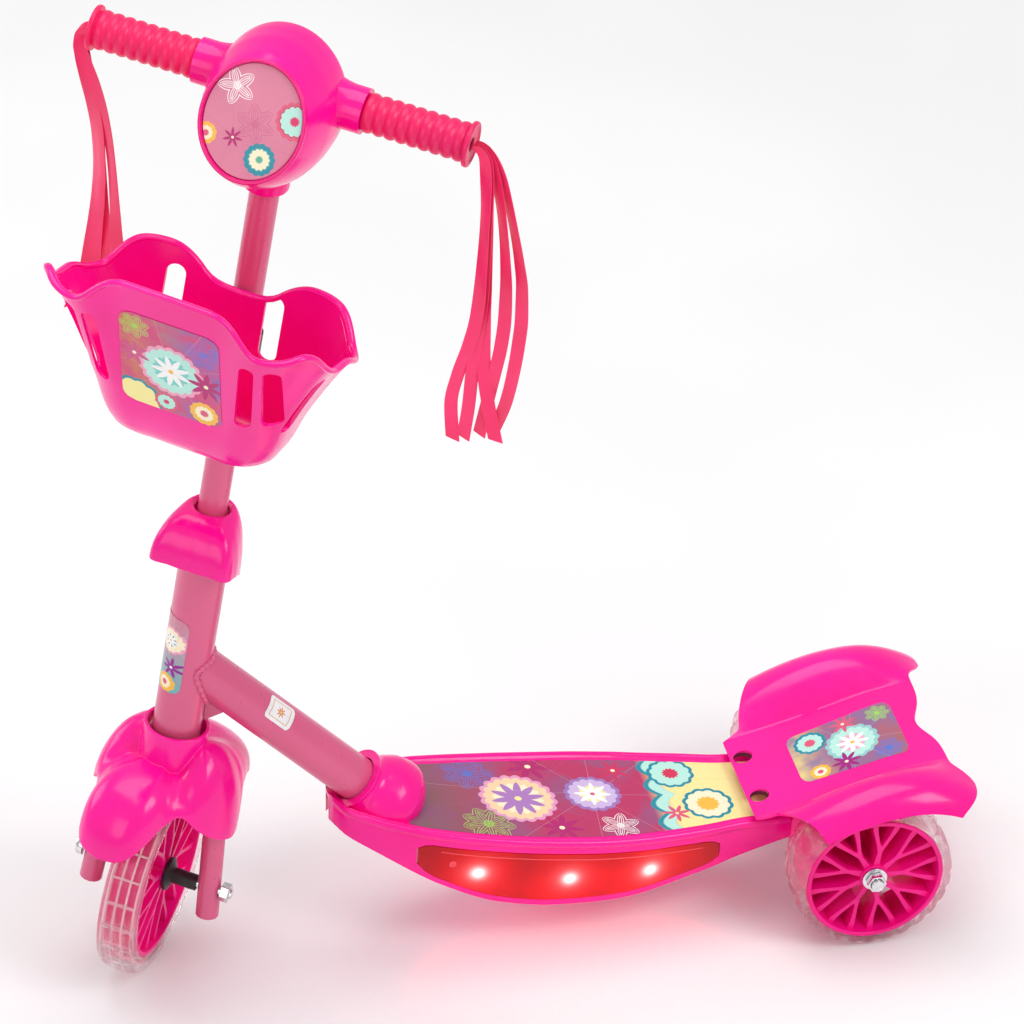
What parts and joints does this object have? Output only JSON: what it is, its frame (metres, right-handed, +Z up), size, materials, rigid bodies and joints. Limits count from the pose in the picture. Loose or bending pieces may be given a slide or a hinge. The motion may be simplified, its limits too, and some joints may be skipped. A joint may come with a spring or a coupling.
{
  "type": "kick scooter",
  "caption": "Child's three-wheel kick scooter with a curved lit deck, steered front wheel, fenders, basket, round handlebar housing and streamers.",
  "frame": {"origin": "middle of the footprint, on the ground", "axes": "+Z up, -Y forward, +X to the rider's left"},
  "size_m": [0.2408, 0.5786, 0.6595],
  "materials": {
    "pink_plastic": "glossy moulded hot-pink plastic",
    "rose_paint": "smooth rose paint on steel tube",
    "chrome": "polished plating",
    "tyre": "clear pinkish gel, smooth and glossy",
    "black_plastic": "fine satin",
    "bush_plastic": "satin nylon",
    "red_lens": "clear red, lit from behind",
    "circuit_board": "lacquered board with lamps",
    "face_pink": "glossy printed flowers on rose",
    "grip_pink": "soft satin",
    "ribbon_pink": "shiny thin ribbon"
  },
  "bodies": {
    "frame": {"battery_box": "black_plastic", "battery_door": "pink_plastic", "deck_base": "pink_plastic", "deck_rail": "rose_paint", "deck_shell": "pink_plastic", "down_tube": "rose_paint", "fender_screw_left": "chrome", "fender_screw_right": "chrome", "gusset_plate": "rose_paint", "head_bush_lower": "bush_plastic", "head_bush_upper": "bush_plastic", "head_tube": "rose_paint", "led_board_left": "circuit_board", "led_board_right": "circuit_board", "lens_left": "red_lens", "lens_right": "red_lens", "rear_axle": "chrome", "rear_fender": "pink_plastic", "rear_nut_left": "chrome", "rear_nut_right": "chrome", "rear_washer_left": "chrome", "rear_washer_right": "chrome", "tail_block": "pink_plastic"},
    "steering": {"basket": "pink_plastic", "basket_clamp": "black_plastic", "basket_screw": "chrome", "face_plate": "face_pink", "fork": "rose_paint", "front_axle": "chrome", "front_fender": "pink_plastic", "front_nut": "chrome", "front_spacer_left": "black_plastic", "front_spacer_right": "black_plastic", "grip_left": "grip_pink", "grip_right": "grip_pink", "handlebar_tube": "rose_paint", "housing_collar": "pink_plastic", "housing_front": "pink_plastic", "housing_rear": "pink_plastic", "stem_cover": "pink_plastic", "stem_tube": "rose_paint", "streamer_left_1": "ribbon_pink", "streamer_left_2": "ribbon_pink", "streamer_left_3": "ribbon_pink", "streamer_left_4": "ribbon_pink", "streamer_left_5": "ribbon_pink", "streamer_right_1": "ribbon_pink", "streamer_right_2": "ribbon_pink", "streamer_right_3": "ribbon_pink", "streamer_right_4": "ribbon_pink", "streamer_right_5": "ribbon_pink"},
    "front_wheel": {"front_hub": "pink_plastic", "front_tyre": "tyre"},
    "rear_wheel_left": {"rear_left_hub": "pink_plastic", "rear_left_tyre": "tyre"},
    "rear_wheel_right": {"rear_right_hub": "pink_plastic", "rear_right_tyre": "tyre"},
    "switch": {"power_switch": "black_plastic"}
  },
  "joints": [
    {"name": "steering", "type": "hinge", "parent": "frame", "child": "steering", "pos_m": [-0.02922, -0.22062, 0.06663], "axis": [0, 0.1461, 0.9893], "range_deg": [-123, 7]},
    {"name": "front_wheel_spin", "type": "hinge", "parent": "steering", "child": "front_wheel", "pos_m": [-0.02922, -0.22062, 0.06663], "axis": [0.5299, 0.839, -0.1239], "continuous": true},
    {"name": "rear_wheel_left_spin", "type": "hinge", "parent": "frame", "child": "rear_wheel_left", "pos_m": [0.03818, 0.22138, 0.05133], "axis": [1, 0, 0], "continuous": true},
    {"name": "rear_wheel_right_spin", "type": "hinge", "parent": "frame", "child": "rear_wheel_right", "pos_m": [-0.09662, 0.22138, 0.05133], "axis": [1, 0, 0], "continuous": true},
    {"name": "switch_slide", "type": "slide", "parent": "frame", "child": "switch", "axis": [0, 1, 0], "range_m": [0, 0.004]}
  ]
}
